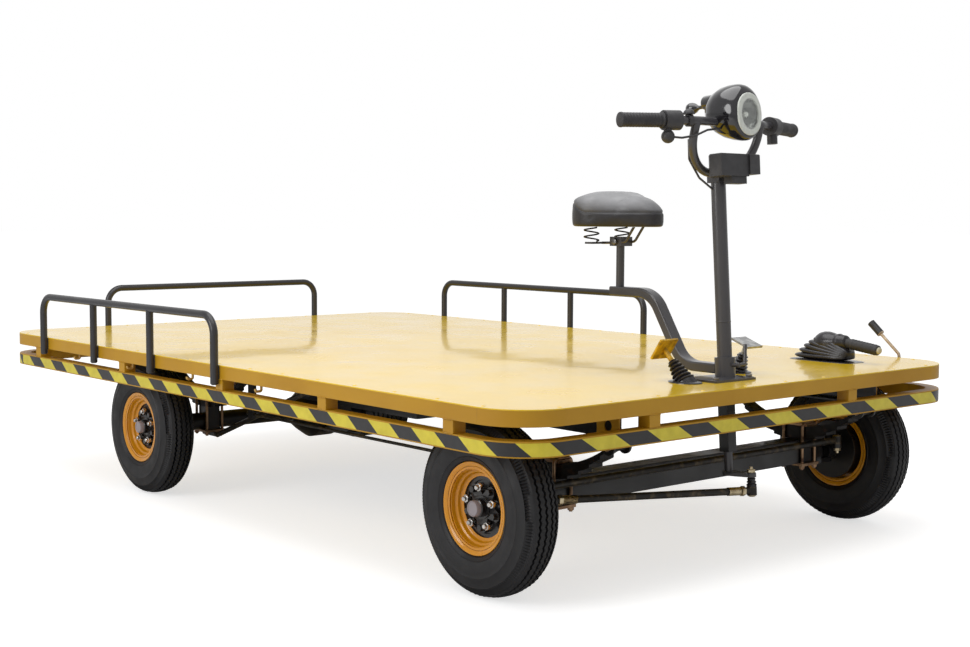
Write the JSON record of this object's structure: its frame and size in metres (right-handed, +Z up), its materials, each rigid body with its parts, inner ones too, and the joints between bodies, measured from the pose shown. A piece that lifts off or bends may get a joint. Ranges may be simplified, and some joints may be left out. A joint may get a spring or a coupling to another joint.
{
  "type": "electric platform cart",
  "caption": "Ride-on flat-bed cart with a yellow deck, low tube rails, a striped bumper ring, a saddle and a handlebar at the front, on leaf-sprung pneumatic wheels.",
  "frame": {"origin": "centre of the bounding box, on the floor", "axes": "+X forward along the deck, +Y to the driver's left, +Z up"},
  "size_m": [2.9854, 1.9106, 1.3469],
  "materials": {
    "deck_yellow": "gloss",
    "frame_ochre": "satin",
    "bumper_stripe": "satin",
    "rail_black": "satin",
    "chassis_black": "satin",
    "spring_steel": "matte",
    "clamp_steel": "satin",
    "link_steel": "satin",
    "rim_orange": "gloss",
    "hub_black": "satin",
    "tyre_rubber": "matte",
    "boot_rubber": "matte",
    "grip_rubber": "matte",
    "saddle_vinyl": "satin",
    "plastic_black": "gloss",
    "lens_clear": "gloss",
    "pedal_plate": "satin",
    "lever_steel": "satin"
  },
  "bodies": {
    "chassis": {"deck_load_sheet": "deck_yellow", "deck_driver_sheet": "deck_yellow", "deck_edge_sides": "frame_ochre", "deck_edge_ends": "frame_ochre", "cross_members": "chassis_black", "chassis_channels": "chassis_black", "bumper_sides": "bumper_stripe", "bumper_ends": "bumper_stripe", "bumper_stubs": "frame_ochre", "rope_hooks": "frame_ochre", "side_rail_right": "rail_black", "side_rail_left": "rail_black", "rear_rail": "rail_black", "leaf_springs": "spring_steel", "spring_hangers": "chassis_black", "spring_clamps": "clamp_steel", "front_axle": "chassis_black", "rear_axle": "chassis_black", "drive_motor": "chassis_black", "battery_box": "chassis_black", "radius_rods": "link_steel", "brake_rod": "link_steel", "brake_lugs": "chassis_black", "steering_foot": "chassis_black", "steering_housing": "rail_black", "seat_arm": "rail_black", "seat_post": "rail_black", "saddle_springs": "spring_steel", "saddle": "saddle_vinyl", "pedals": "pedal_plate", "pedal_boots": "boot_rubber", "brake_boot": "boot_rubber", "brake_grip": "grip_rubber", "gear_lever": "lever_steel"},
    "steering": {"steering_post": "rail_black", "handlebar": "rail_black", "grips": "grip_rubber", "bar_controls": "plastic_black", "headlight_housing": "plastic_black", "headlight_lens": "lens_clear", "control_box": "plastic_black", "control_cables": "boot_rubber"},
    "knuckle_right": {"knuckle_right": "chassis_black"},
    "knuckle_left": {"knuckle_left": "chassis_black"},
    "tie_rod": {"tie_rod": "link_steel"},
    "drag_link": {"drag_link": "link_steel"},
    "wheel_front_right": {"tyre_front_right": "tyre_rubber", "rim_front_right": "rim_orange", "hub_front_right": "hub_black"},
    "wheel_front_left": {"tyre_front_left": "tyre_rubber", "rim_front_left": "rim_orange", "hub_front_left": "hub_black"},
    "wheel_rear_right": {"tyre_rear_right": "tyre_rubber", "rim_rear_right": "rim_orange", "hub_rear_right": "hub_black"},
    "wheel_rear_left": {"tyre_rear_left": "tyre_rubber", "rim_rear_left": "rim_orange", "hub_rear_left": "hub_black"}
  },
  "joints": [
    {"name": "steer", "type": "hinge", "parent": "chassis", "child": "steering", "pos_m": [1.32965, 0, 0.522], "axis": [-0.0698, 0, 0.9976], "range_deg": [-30, 30]},
    {"name": "knuckle_right_turn", "type": "hinge", "parent": "chassis", "child": "knuckle_right", "pos_m": [1.18765, -0.62, 0.2335], "axis": [-0.0698, 0, 0.9976], "range_deg": [-30, 30]},
    {"name": "knuckle_left_turn", "type": "hinge", "parent": "chassis", "child": "knuckle_left", "pos_m": [1.18765, 0.62, 0.2335], "axis": [-0.0698, 0, 0.9976], "range_deg": [-30, 30]},
    {"name": "tie_rod_swing", "type": "hinge", "parent": "knuckle_right", "child": "tie_rod", "pos_m": [1.26592, -0.62, 0.26103], "axis": [-0.0698, 0, 0.9976], "range_deg": [-30, 30]},
    {"name": "drag_link_swing", "type": "hinge", "parent": "steering", "child": "drag_link", "pos_m": [1.42843, 0, 0.25624], "axis": [-0.0698, 0, 0.9976], "range_deg": [-30, 30]},
    {"name": "wheel_front_right_spin", "type": "hinge", "parent": "knuckle_right", "child": "wheel_front_right", "pos_m": [1.18765, -0.76, 0.2335], "axis": [0, 1, 0], "continuous": true},
    {"name": "wheel_front_left_spin", "type": "hinge", "parent": "knuckle_left", "child": "wheel_front_left", "pos_m": [1.18765, 0.76, 0.2335], "axis": [0, 1, 0], "continuous": true},
    {"name": "wheel_rear_right_spin", "type": "hinge", "parent": "chassis", "child": "wheel_rear_right", "pos_m": [-0.62535, -0.76, 0.2335], "axis": [0, 1, 0], "continuous": true},
    {"name": "wheel_rear_left_spin", "type": "hinge", "parent": "chassis", "child": "wheel_rear_left", "pos_m": [-0.62535, 0.76, 0.2335], "axis": [0, 1, 0], "continuous": true}
  ],
  "couplings": [
    {"joint": "knuckle_right_turn", "follows": "steer", "ratio": 1},
    {"joint": "knuckle_left_turn", "follows": "steer", "ratio": 1},
    {"joint": "tie_rod_swing", "follows": "steer", "ratio": -1},
    {"joint": "drag_link_swing", "follows": "steer", "ratio": -1}
  ]
}
